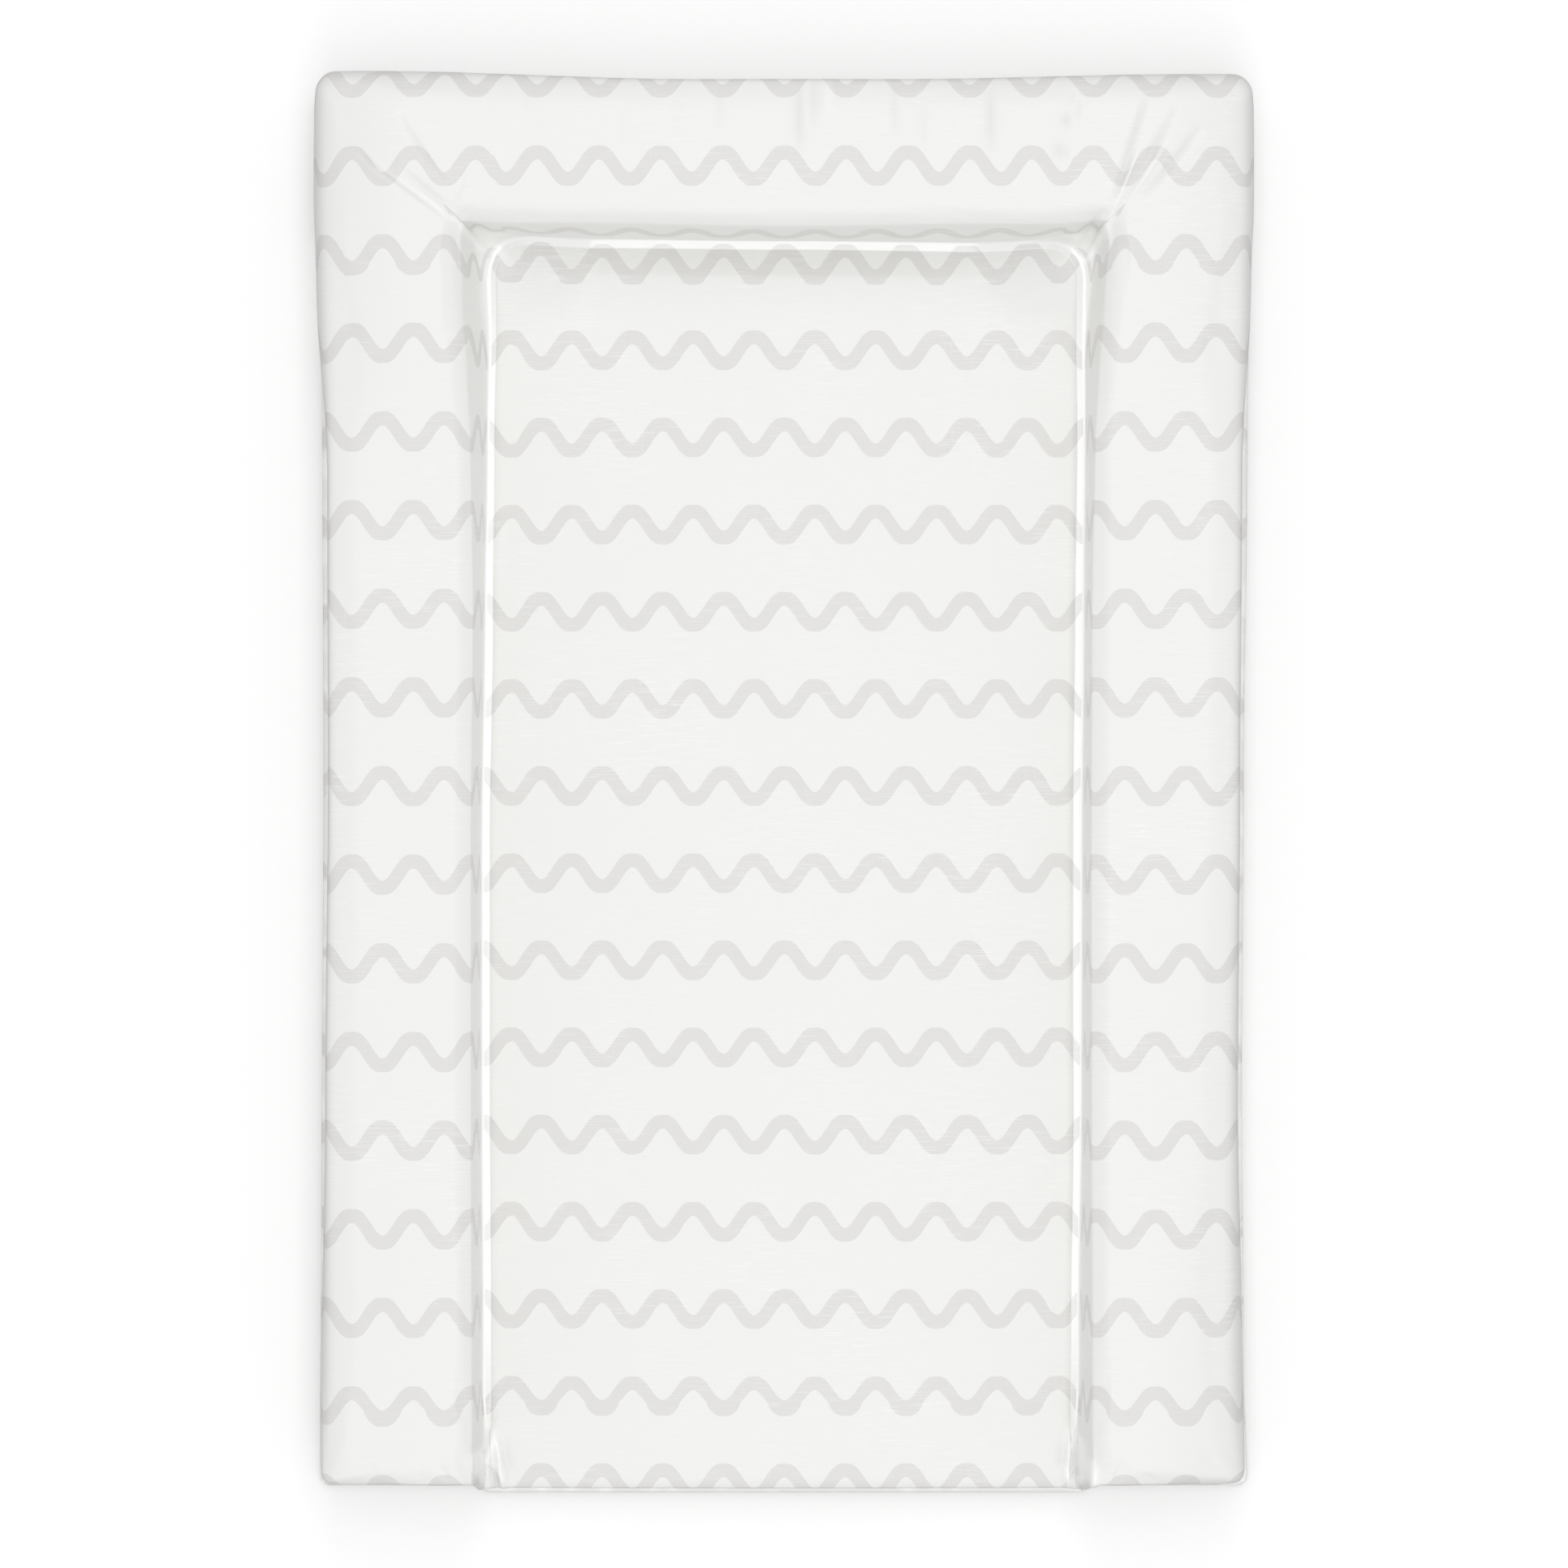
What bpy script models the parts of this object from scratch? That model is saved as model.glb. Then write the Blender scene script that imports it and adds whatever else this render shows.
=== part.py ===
# Baby changing mat with three raised sides.
# Three PVC films are welded together in a flat margin all round: a base sheet under everything, a liner
# that wraps the base foam, and a printed top cover. A second weld, a U-shaped band, joins the cover to the
# liner between the lying area and the raised sides. Foam bars fill the raised sides, and wadding fills
# the lying area.
# Metres, +Z up, +Y towards the head end, origin in the middle of the underside.

import math

import bmesh
import bpy

# Overall sizes, from edge to edge of the welded margin
MAT_LENGTH = 0.700
MAT_WIDTH = 0.464
MAT_HEIGHT = 0.072

# Films and clearances
FILM = 0.0005
CLEARANCE = 0.0003
MARGIN_WIDTH = 0.004
OVERRUN = 0.010

# Fillings
BASE_FOAM_THICKNESS = 0.020
WADDING_THICKNESS = 0.004
WADDING_EDGE_RUN = 0.014

# Raised sides: widths are measured at the foot of the bar, from the outer wall to the weld band
SIDE_BAR_WIDTH = 0.080
HEAD_BAR_WIDTH = 0.078
SIDE_LEAN = 0.0025
HEAD_OVERHANG = 0.001
FOOT_LEAN = 0.005
INNER_LEAN = 0.003
SIDE_CROWN_RUN = 0.016
HEAD_CROWN_RUN = 0.020
FOOT_CROWN_RUN = 0.008
CROWN_RISE = 0.008
INNER_EDGE_RADIUS = 0.006
MITRE_GAP = 0.0004

# Weld band between the lying area and the raised sides
BAND_WIDTH = 0.004
BAND_CORNER_RADIUS = 0.019
# How much a corner of the well tightens for each length that it grows up the inner walls
CORNER_TIGHTENING_SHARE = 1.6

# Plan outline: the film draws the long sides and the head end in between the corners
SIDE_DRAW_IN = 0.002
HEAD_DRAW_IN = 0.004
HEAD_CORNER_RADIUS = 0.008
FOOT_CORNER_RADIUS = 0.005
TIGHTEST_CORNER_RADIUS = 0.002

# Rolled front edge of the lying area
FOOT_ROLL_RUN = 0.007
FOOT_ROLL_RISE = 0.006

# Breather holes through the base sheet
VENT_RADIUS = 0.002
VENT_SPACING = 0.200

# Facets
CORNER_STEPS = 4
BAND_CORNER_STEPS = 6
SIDE_STEPS = 8
HEAD_STEPS = 6
CROWN_STEPS = 5
EDGE_STEPS = 4
VENT_STEPS = 16

# Levels, worked up from the floor
BASE_FOAM_BOTTOM = FILM + CLEARANCE
BASE_FOAM_TOP = BASE_FOAM_BOTTOM + BASE_FOAM_THICKNESS
LINER_MARGIN_BOTTOM = FILM + CLEARANCE
LINER_MARGIN_TOP = LINER_MARGIN_BOTTOM + FILM
LINER_TOP = BASE_FOAM_TOP + CLEARANCE + FILM
COVER_MARGIN_BOTTOM = LINER_MARGIN_TOP + CLEARANCE
COVER_MARGIN_TOP = COVER_MARGIN_BOTTOM + FILM
BAND_TOP = LINER_TOP + CLEARANCE + FILM
FILLING_BOTTOM = LINER_TOP + CLEARANCE
WADDING_TOP = FILLING_BOTTOM + WADDING_THICKNESS
PAD_TOP = WADDING_TOP + CLEARANCE + FILM
CROWN_BOTTOM = MAT_HEIGHT - CROWN_RISE

# Places in plan
HALF_LENGTH = MAT_LENGTH / 2
HALF_WIDTH = MAT_WIDTH / 2
BAND_OUTER_X = HALF_WIDTH - MARGIN_WIDTH - SIDE_BAR_WIDTH
BAND_OUTER_Y = HALF_LENGTH - MARGIN_WIDTH - HEAD_BAR_WIDTH

# Depths below the visible face of the cover
COVER_FACE = 0
COVER_BACK = FILM
FILLING_FACE = FILM + CLEARANCE
LINER_FACE = FILM + CLEARANCE
LINER_BACK = LINER_FACE + FILM
BASE_FOAM_FACE = LINER_BACK + CLEARANCE


def clear_scene():
    for item in list(bpy.data.objects):
        bpy.data.objects.remove(item)


def material(name, colour, roughness):
    made = bpy.data.materials.new(name)
    made.use_nodes = True
    shader = made.node_tree.nodes["Principled BSDF"]
    shader.inputs["Base Color"].default_value = (*colour, 1)
    shader.inputs["Roughness"].default_value = roughness
    shader.inputs["Metallic"].default_value = 0
    return made


def add_object(name, bm, finish=None):
    bmesh.ops.recalc_face_normals(bm, faces=bm.faces[:])
    mesh = bpy.data.meshes.new(name)
    bm.to_mesh(mesh)
    bm.free()
    made = bpy.data.objects.new(name, mesh)
    bpy.context.scene.collection.objects.link(made)
    if finish:
        mesh.materials.append(finish)
        mesh.shade_smooth()
        mesh.set_sharp_from_angle(angle=math.radians(35))
    else:
        made.hide_render = True
        made.display_type = "WIRE"
    return made


def boolean(target, tool, operation):
    cut = target.modifiers.new(tool.name, "BOOLEAN")
    cut.operation = operation
    cut.solver = "EXACT"
    cut.object = tool


def arc(centre, radius, start, steps):
    """Points of a quarter turn in plan, anticlockwise from the start angle."""
    return [
        (
            centre[0] + radius * math.cos(start + math.pi / 2 * n / steps),
            centre[1] + radius * math.sin(start + math.pi / 2 * n / steps),
        )
        for n in range(steps + 1)
    ]


def side_span(start, end, steps, draw_in):
    """Places along a side, between its corners, with how far the film draws the side in at each."""
    places = []
    for n in range(1, steps):
        along = n / steps
        places.append((start + (end - start) * along, 4 * draw_in * along * (1 - along)))
    return places


def mat_outline(side, head, foot):
    """Plan outline, anticlockwise from the foot's right corner, set in from the mat's edge on each side."""
    side_x = HALF_WIDTH - side
    head_y = HALF_LENGTH - head
    foot_r = max(FOOT_CORNER_RADIUS + MARGIN_WIDTH - side, TIGHTEST_CORNER_RADIUS)
    head_r = max(HEAD_CORNER_RADIUS + MARGIN_WIDTH - side, TIGHTEST_CORNER_RADIUS)
    foot_x, foot_y = side_x - foot_r, foot + foot_r - HALF_LENGTH
    head_x, end_y = side_x - head_r, head_y - head_r
    right = arc((foot_x, foot_y), foot_r, -math.pi / 2, CORNER_STEPS)
    right += [(side_x - pull, y) for y, pull in side_span(foot_y, end_y, SIDE_STEPS, SIDE_DRAW_IN)]
    right += arc((head_x, end_y), head_r, 0, CORNER_STEPS)
    top = [(x, head_y - pull) for x, pull in side_span(head_x, -head_x, HEAD_STEPS, HEAD_DRAW_IN)]
    return right + top + [(-x, y) for x, y in reversed(right)]


def wall_outline(depth, height):
    """Outline of the outer wall at a height, at a depth below the visible face."""
    share = max(height - COVER_MARGIN_BOTTOM, 0) / (CROWN_BOTTOM - COVER_MARGIN_BOTTOM)
    inset = MARGIN_WIDTH + depth
    return mat_outline(inset + SIDE_LEAN * share, inset - HEAD_OVERHANG * share, inset + FOOT_LEAN * share)


def well_outline(grow):
    """Open outline of the well between the raised sides, grown out from the weld band's outer edge."""
    change = grow if grow < 0 else -CORNER_TIGHTENING_SHARE * grow
    radius = max(BAND_CORNER_RADIUS + change, TIGHTEST_CORNER_RADIUS)
    x = BAND_OUTER_X + grow
    right = [(x, -HALF_LENGTH - OVERRUN)]
    right += arc((x - radius, BAND_OUTER_Y + grow - radius), radius, 0, BAND_CORNER_STEPS)
    return right + [(-px, py) for px, py in reversed(right)]


def skin(bm, rows, closed):
    """Bridges rows of (outline, height) with equal numbers of points, and returns each row's corners."""
    corners, chains = [], []
    for outline, height in rows:
        verts = [bm.verts.new((x, y, height)) for x, y in outline]
        pairs = list(zip(verts, verts[1:]))
        if closed:
            pairs.append((verts[-1], verts[0]))
        corners.append(verts)
        chains.append([bm.edges.new(pair) for pair in pairs])
    for lower, upper in zip(chains, chains[1:]):
        bmesh.ops.bridge_loops(bm, edges=lower + upper)
    return corners


def loft(rings):
    """Closed solid through closed rings, with a flat bottom and top."""
    bm = bmesh.new()
    corners = skin(bm, rings, closed=True)
    bm.faces.new(corners[0])
    bm.faces.new(corners[-1])
    return bm


def trough(rows):
    """Closed solid over a surface through open rows, with a flat foot end and top."""
    bm = bmesh.new()
    corners = skin(bm, rows, closed=False)
    bm.faces.new(corners[0])
    bm.faces.new(corners[-1])
    bm.faces.new([row[0] for row in corners] + [row[-1] for row in reversed(corners)])
    return bm


def wall_rings(depth):
    """Outer wall and crown of the raised sides, at a depth below the visible face."""
    rings = [(wall_outline(depth, COVER_MARGIN_BOTTOM), COVER_MARGIN_BOTTOM)]
    for n in range(CROWN_STEPS + 1):
        angle = math.pi / 2 * n / CROWN_STEPS

        def inset(lean, run):
            return MARGIN_WIDTH + lean + run - (run - depth) * math.cos(angle)

        outline = mat_outline(
            inset(SIDE_LEAN, SIDE_CROWN_RUN),
            inset(-HEAD_OVERHANG, HEAD_CROWN_RUN),
            inset(FOOT_LEAN, FOOT_CROWN_RUN),
        )
        rings.append((outline, CROWN_BOTTOM + (CROWN_RISE - depth) * math.sin(angle)))
    return rings


def well_rows(depth):
    """Lying area, weld band and inner walls, from the lying area out to above the raised sides."""
    rows = []
    for n in range(EDGE_STEPS + 1):
        angle = math.pi / 2 * (1 - n / EDGE_STEPS)
        grow = (WADDING_EDGE_RUN - depth) * math.cos(angle) - WADDING_EDGE_RUN - BAND_WIDTH
        rows.append((grow, BAND_TOP - depth + (PAD_TOP - BAND_TOP) * math.sin(angle)))
    rows.append((depth, BAND_TOP - depth))
    for n in range(EDGE_STEPS + 1):
        angle = math.pi / 2 * n / EDGE_STEPS
        grow = INNER_LEAN + INNER_EDGE_RADIUS - (INNER_EDGE_RADIUS - depth) * math.cos(angle)
        rows.append((grow, MAT_HEIGHT - INNER_EDGE_RADIUS + (INNER_EDGE_RADIUS - depth) * math.sin(angle)))
    rows[-1] = run_on(*rows[-2:])
    return [(well_outline(grow), height) for grow, height in rows]


def run_on(before, last):
    """The last point of an outline, moved out along its facet so that a cut there leaves no step."""
    return tuple(2 * b - a for a, b in zip(before, last))


def foot_roll(depth):
    """Cutter that rounds the front edge of the lying area, at a depth below the visible face."""
    roll_bottom = PAD_TOP - FOOT_ROLL_RISE
    lean_share = (roll_bottom - COVER_MARGIN_BOTTOM) / (CROWN_BOTTOM - COVER_MARGIN_BOTTOM)
    centre_y = MARGIN_WIDTH + FOOT_LEAN * lean_share + FOOT_ROLL_RUN - HALF_LENGTH
    section = []
    for n in range(EDGE_STEPS + 1):
        angle = math.pi / 2 * n / EDGE_STEPS
        y = centre_y - (FOOT_ROLL_RUN - depth) * math.cos(angle)
        section.append((y, roll_bottom + (FOOT_ROLL_RISE - depth) * math.sin(angle)))
    section[0] = run_on(section[1], section[0])
    section[-1] = run_on(section[-2], section[-1])
    far_y = -HALF_LENGTH - OVERRUN
    section += [(section[-1][0], MAT_HEIGHT), (far_y, MAT_HEIGHT), (far_y, section[0][1])]
    half_width = BAND_OUTER_X + depth
    bm = bmesh.new()
    face = bm.faces.new([bm.verts.new((-half_width, y, z)) for y, z in section])
    moved = bmesh.ops.extrude_face_region(bm, geom=[face])["geom"]
    ends = [item for item in moved if isinstance(item, bmesh.types.BMVert)]
    bmesh.ops.translate(bm, vec=(2 * half_width, 0, 0), verts=ends)
    return bm


def cut_foot_roll(body, depth):
    boolean(body, add_object(body.name + "_foot_roll", foot_roll(depth)), "DIFFERENCE")


def upper_body(name, depth, finish=None, below=0):
    """The form under the cover at a depth below its visible face: raised sides and lying area in one."""
    rings = wall_rings(depth)
    if below:
        rings.insert(0, (rings[0][0], rings[0][1] - below))
    body = add_object(name, loft(rings), finish)
    boolean(body, add_object(name + "_well", trough(well_rows(depth))), "DIFFERENCE")
    cut_foot_roll(body, depth)
    return body


def lower_body(name, depth, bottom, top, finish=None):
    """The form of the base foam and of the liner round it, at a depth below the visible face."""
    heights = [bottom] + [COVER_MARGIN_BOTTOM] * (bottom < COVER_MARGIN_BOTTOM) + [top]
    body = add_object(name, loft([(wall_outline(depth, height), height) for height in heights]), finish)
    cut_foot_roll(body, depth)
    return body


def plate(name, bottom, top, finish=None):
    """Flat sheet of the full outline."""
    return add_object(name, prism(mat_outline(0, 0, 0), bottom, top), finish)


def prism(outline, bottom, top):
    return loft([(outline, bottom), (outline, top)])


def make_base_sheet(finish):
    sheet = plate("base_sheet", 0, FILM, finish)
    for x, y in ((-1, -1), (1, -1), (-1, 1), (1, 1)):
        bm = bmesh.new()
        bmesh.ops.create_cone(
            bm,
            cap_ends=True,
            segments=VENT_STEPS,
            radius1=VENT_RADIUS,
            radius2=VENT_RADIUS,
            depth=2 * OVERRUN,
        )
        bmesh.ops.translate(bm, vec=(x * VENT_SPACING / 2, y * VENT_SPACING / 2, 0), verts=bm.verts[:])
        boolean(sheet, add_object(f"vent_{x}_{y}", bm), "DIFFERENCE")


def make_liner_sheet(finish):
    liner = plate("liner_sheet", LINER_MARGIN_BOTTOM, LINER_MARGIN_TOP, finish)
    boolean(liner, lower_body("liner_form", LINER_FACE, LINER_MARGIN_BOTTOM, LINER_TOP), "UNION")
    hollow = lower_body("liner_hollow", LINER_BACK, LINER_MARGIN_BOTTOM - OVERRUN, LINER_TOP - FILM)
    boolean(liner, hollow, "DIFFERENCE")


def make_top_cover(finish):
    cover = plate("top_cover", COVER_MARGIN_BOTTOM, COVER_MARGIN_TOP, finish)
    boolean(cover, upper_body("cover_form", COVER_FACE), "UNION")
    boolean(cover, upper_body("cover_hollow", COVER_BACK, below=OVERRUN), "DIFFERENCE")


def make_base_foam(finish):
    lower_body("base_foam", BASE_FOAM_FACE, BASE_FOAM_BOTTOM, BASE_FOAM_TOP, finish)


def make_filling(name, finish, zones):
    """A piece of the filling under the cover: what lies in some zones in plan and outside the others."""
    filling = upper_body(name, FILLING_FACE, finish)
    for number, (outline, operation) in enumerate(zones):
        zone = add_object(f"{name}_zone_{number}", prism(outline, FILLING_BOTTOM, MAT_HEIGHT))
        boolean(filling, zone, operation)


def make_fillings(foam, wadding):
    """Three foam bars with mitred ends round the wadding of the lying area."""
    centre = well_outline(-BAND_WIDTH / 2)
    far_x = HALF_WIDTH + OVERRUN
    far_y = HALF_LENGTH + OVERRUN
    # The mitre runs from the weld band's corner to the mat's corner, and the bars stop short of it
    slope = (HALF_LENGTH - BAND_OUTER_Y) / (HALF_WIDTH - BAND_OUTER_X)
    half_gap = MITRE_GAP / 2 * math.hypot(1, slope)
    middle_y = BAND_OUTER_Y - slope * BAND_OUTER_X
    end_y = middle_y + slope * far_x
    top_y = max(end_y, far_y) + OVERRUN
    right = [(0, middle_y - half_gap), (0, -far_y), (far_x, -far_y), (far_x, end_y - half_gap)]
    left = [(-x, y) for x, y in reversed(right)]
    head = [(0, middle_y + half_gap), (far_x, end_y + half_gap), (far_x, top_y), (-far_x, top_y)]
    head.append((-far_x, end_y + half_gap))
    make_filling("centre_wadding", wadding, [(centre, "INTERSECT")])
    for name, zone in (("left_bar_foam", left), ("right_bar_foam", right), ("head_bar_foam", head)):
        make_filling(name, foam, [(zone, "INTERSECT"), (centre, "DIFFERENCE")])


def build():
    clear_scene()
    printed_film = material("printed_pvc_film", (0.88, 0.88, 0.87), 0.35)
    plain_film = material("white_pvc_film", (0.86, 0.86, 0.85), 0.4)
    clear_film = material("liner_film", (0.82, 0.83, 0.84), 0.45)
    foam = material("polyurethane_foam", (0.86, 0.84, 0.76), 0.95)
    wadding = material("polyester_wadding", (0.9, 0.9, 0.9), 1)
    make_base_sheet(plain_film)
    make_liner_sheet(clear_film)
    make_base_foam(foam)
    make_fillings(foam, wadding)
    make_top_cover(printed_film)


build()
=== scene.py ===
import math

import bmesh
import bpy
import numpy as np
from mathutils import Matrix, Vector, noise


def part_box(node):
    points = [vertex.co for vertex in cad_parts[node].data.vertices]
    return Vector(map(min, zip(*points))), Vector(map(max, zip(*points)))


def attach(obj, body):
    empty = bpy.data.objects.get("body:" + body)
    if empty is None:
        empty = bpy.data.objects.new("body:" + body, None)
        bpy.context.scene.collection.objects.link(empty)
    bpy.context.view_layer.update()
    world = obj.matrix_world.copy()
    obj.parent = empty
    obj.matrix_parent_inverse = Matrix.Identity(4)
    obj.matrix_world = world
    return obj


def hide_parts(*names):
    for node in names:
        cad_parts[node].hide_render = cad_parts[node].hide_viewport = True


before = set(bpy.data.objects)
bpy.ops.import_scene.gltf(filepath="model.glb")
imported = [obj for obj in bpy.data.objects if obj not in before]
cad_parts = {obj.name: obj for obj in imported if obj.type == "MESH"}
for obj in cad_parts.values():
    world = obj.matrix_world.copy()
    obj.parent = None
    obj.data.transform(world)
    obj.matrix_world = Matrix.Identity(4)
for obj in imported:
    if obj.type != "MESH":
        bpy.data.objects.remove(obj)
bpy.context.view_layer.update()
mm = 0.001
nearly = 0.01 * mm  # places closer than this are one place

coverLow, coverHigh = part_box("top_cover")
sheetLow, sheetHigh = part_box("base_sheet")
halfWidth, halfLength, matHeight = coverHigh.x, coverHigh.y, coverHigh.z
hemBottom = coverLow.z

# a raised-edge changing mat: printed film over a thin pad and three foam bars
cover = {
    "hemWidth": 4 * mm,
    "hemThickness": 0.5 * mm,
    "sideBarWidth": 79.4 * mm,
    "headBarWidth": 78.5 * mm,
    "bandWidth": 4.4 * mm,
    "bandNarrowing": 1.0 * mm,
    "rightWidening": 0.9 * mm,
    "wideningRun": (-230 * mm, -60 * mm),
    "weldCrease": 0.55,
    "bandTilt": 0.22 * mm,
    "bandHeight": 22.4 * mm,
    "bandCornerRadius": 21 * mm,
    "cornerSharpening": 1.3,
    "padTop": 26.7 * mm,
    "padEdgeRise": 1.0 * mm,
    "padCrown": 3.2 * mm,
    "padEdgeAtSides": 3.6 * mm,
    "padEdgeAtHead": 14 * mm,
    "wallLean": 1.8 * mm,
    "rimRun": 8.5 * mm,
    "rimRise": 3.2 * mm,
    # over this run of the pad the film's grid goes over to the weld's own line
    "driftRun": 60 * mm,
    # how far the weld and the wall's upper edge stand outside their straight lines, in mm:
    # from foot to head along the sides, from left to right along the head
    "leftWeld": [(-350, 0.4), (-265, 0.6), (-155, 1.2), (-27, 1.2), (85, -0.4), (165, -1.8), (234, -3.2)],
    "rightWeld": [(-350, -3.4), (-265, -2.7), (-155, -1.2), (-27, -0.9), (85, 0), (165, 0.4), (234, -0.4)],
    "headWeld": [(-95, 0.5), (0, -0.3), (120, -1.6)],
    "leftTop": [(-350, 2.6), (-318, 0.6), (-155, 1.0), (-27, 1.0), (85, 0), (165, 1.2), (198, 2.8),
                (234, 5.5), (262, 6.8)],
    "rightTop": [(-350, 0.8), (-318, -1.4), (-155, -2.0), (-27, -2.2), (85, -1.8), (165, -0.4), (198, 1.6),
                 (234, 4.3), (262, 7.0)],
    "headTop": [(-157, 3.7), (-125, 1.9), (-95, 1.3), (0, -0.2), (120, 1.3), (157, 4.1)],
    # the film stands less steep near the two inner corners, where the bars pull the weld up.
    # each start is a place across and one along, from which the corner begins to tell
    "leftHollow": 2.2,
    "rightHollow": 3.4,
    "hollowStart": (90 * mm, 150 * mm),
    "headHollowShare": 0.4,
    "cornerRimRise": 3 * mm,
    "cornerLift": 20 * mm,
    "liftStart": (92 * mm, 205 * mm),
    "narrowingStart": (90 * mm, 60 * mm),
    "narrowingFull": 200 * mm,
    "narrowingFade": 30 * mm,
    "straightNarrowing": 0.15,
    # the bars' crowns, from where each begins
    "headCrownStart": 327 * mm,
    "footCrownStart": 334 * mm,
    "outerLean": 2.5 * mm,
    "headOverhang": 1 * mm,
    "sideCrownRun": 15 * mm,
    "headCrownRun": 20 * mm,
    "footCrownRun": 8 * mm,
    "crownSquareness": 1.5,
    "headSquareness": 1.2,
    "footSquareness": 1.0,
    "leftCrownRise": [(-297, 14), (-156, 7), (0, 5.5), (150, 5.5), (245, 17), (300, 20)],
    "rightCrownRise": [(-297, 24), (-156, 13), (0, 8), (150, 6.5), (245, 17), (300, 20)],
    # how far the side bars' tops have fallen where their crowns begin
    "droopRun": 34 * mm,
    "leftDroop": [(-297, 0.4), (0, 0), (150, 0), (245, 2.8), (300, 3.6)],
    "rightDroop": [(-297, 3.2), (-156, 1.2), (0, 0), (150, 0), (245, 2.4), (300, 3.2)],
    "headCrownRise": 12 * mm,
    "footCrownRise": 7 * mm,
    # the share of a quarter turn that the crown makes at the two ends
    "headSweep": [(-190, 0.95), (-110, 0.75), (0, 0.6), (110, 0.75), (190, 0.9)],
    "footSweep": 0.43,
    # between the bars the lying area rolls down to the foot's edge, further forward than they do
    "footRollRun": 6.5 * mm,
    "rollForward": 8.2 * mm,
    "rollStart": 296 * mm,
    "frontForward": 3.2 * mm,
    "barStart": 4 * mm,
    "headCorner": 10 * mm,
    "footCorner": 5 * mm,
    "fanOut": 60 * mm,
    # how far the film stands in from the mat's edge in mm, from foot to head
    "leftInset": [(-346, 6.6), (-297, 6.2), (-156, 8.4), (0, 9.9), (150, 9.6), (245, 3.6), (285, 2.2),
                  (346, 2.8)],
    "rightInset": [(-346, 7.6), (-297, 8.0), (-156, 10.8), (0, 10.1), (150, 9.2), (245, 4.4), (285, 2.8),
                   (346, 3.2)],
    # the head's inset from left to right
    "headInset": [(-232, 4.4), (-206, 2.6), (-43, 7.4), (53, 7.4), (215, 4.0), (232, 4.6)],
    "meanSideInset": 6.5 * mm,
    "meanHeadInset": 3 * mm,
    # how far the margin's own edge draws in between the corners, in mm
    "leftHem": [(-350, 0.8), (-200, 1.6), (0, 2.6), (150, 2.1), (300, 0), (350, 0.6)],
    "rightHem": [(-350, 1.6), (-297, 3.2), (-156, 4.4), (0, 3.4), (150, 1.7), (300, 0), (350, 0.6)],
    "headHem": [(-232, 0.6), (-206, 0), (-43, 3.6), (53, 3.6), (215, 0.4), (232, 0.8)],
    "footHem": [(-232, 0.2), (-156, -0.2), (-146, -3.6), (146, -3.6), (156, -0.2), (232, 0.2)],
    "crownSteps": 7,
    "wallSteps": 5,
}
bandX = halfWidth - cover["hemWidth"] - cover["sideBarWidth"]
bandY = halfLength - cover["hemWidth"] - cover["headBarWidth"]
innerRun = cover["wallLean"] + cover["rimRun"]
crownX = halfWidth - cover["hemWidth"] - cover["outerLean"] - cover["sideCrownRun"]
crownY = cover["headCrownStart"]
crownFoot = -cover["footCrownStart"]
lastRing = cover["crownSteps"] + cover["wallSteps"]

# the film's grid: fine cells where it bends or is folded, wide ones where it lies flat
grid = {
    "padCell": 7 * mm,
    "padRow": 9 * mm,
    "foldCell": 1.05 * mm,
    "footCell": 1.9 * mm,
    "outerCell": 2 * mm,
    "sideFoldEnd": 198 * mm,
    "headFoldEnd": 318 * mm,
    "footFoldEnd": -306 * mm,
    "wallRows": 6,
    # shares of the weld's width, rows of the rim, and shares of the pad's edge run
    "acrossWeld": [0.75, 0.5, 0.25],
    "overRim": [1.3, 2.2, 3, 3.8, 4.8],
    "padEdge": [1.12, 0.96, 0.8, 0.65, 0.5, 0.36, 0.22, 0.1, 0],
    "besidePadEdge": [2.6, 2.2, 1.8, 1.45],
}


def between(value, low, high):
    return min(max((value - low) / (high - low), 0.0), 1.0)


def eased(value, low, high):
    t = between(value, low, high)
    return t * t * (3 - 2 * t)


def along(place, marks):
    # marks are places and values in mm, with an eased run from each to the next
    for (startAt, startValue), (endAt, endValue) in zip(marks, marks[1:]):
        if place <= endAt * mm:
            return (startValue + (endValue - startValue) * eased(place, startAt * mm, endAt * mm)) * mm
    return marks[-1][1] * mm


def spaced(start, end, step):
    count = max(round((end - start) / step), 1)
    return [start + (end - start) * k / count for k in range(count)]


def gridLines():
    c, g = cover, grid
    # shared places across the weld, up the wall and over the rim, closer together where the film bends more
    shared = [-c["bandWidth"] * k for k in g["acrossWeld"]]
    shared += [c["wallLean"] * k / g["wallRows"] for k in range(g["wallRows"] + 1)]
    shared += [c["wallLean"] + c["rimRun"] * (1 - math.cos(math.pi / 2 * k / g["wallRows"]))
               for k in g["overRim"]]
    sideEdge = g["besidePadEdge"] + g["padEdge"]
    wallX = [bandX - c["bandWidth"] - c["padEdgeAtSides"] * k for k in sideEdge]
    wallX += [bandX + s for s in shared]
    wallY = [bandY - c["bandWidth"] - c["padEdgeAtHead"] * k for k in g["padEdge"]]
    wallY += [bandY + s for s in shared]
    # fine cells where the film is folded at the mitres
    sideX = spaced(0, wallX[0], g["padCell"]) + wallX
    sideX += spaced(bandX + innerRun, g["sideFoldEnd"], g["foldCell"])
    sideX += spaced(g["sideFoldEnd"], crownX, g["outerCell"]) + [crownX]
    linesY = spaced(crownFoot, g["footFoldEnd"], g["footCell"])
    linesY += spaced(g["footFoldEnd"], wallY[0], g["padRow"]) + wallY
    linesY += spaced(bandY + innerRun, g["headFoldEnd"], g["foldCell"])
    linesY += spaced(g["headFoldEnd"], crownY, g["outerCell"]) + [crownY]
    return [-x for x in reversed(sideX[1:])] + sideX, linesY


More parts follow.
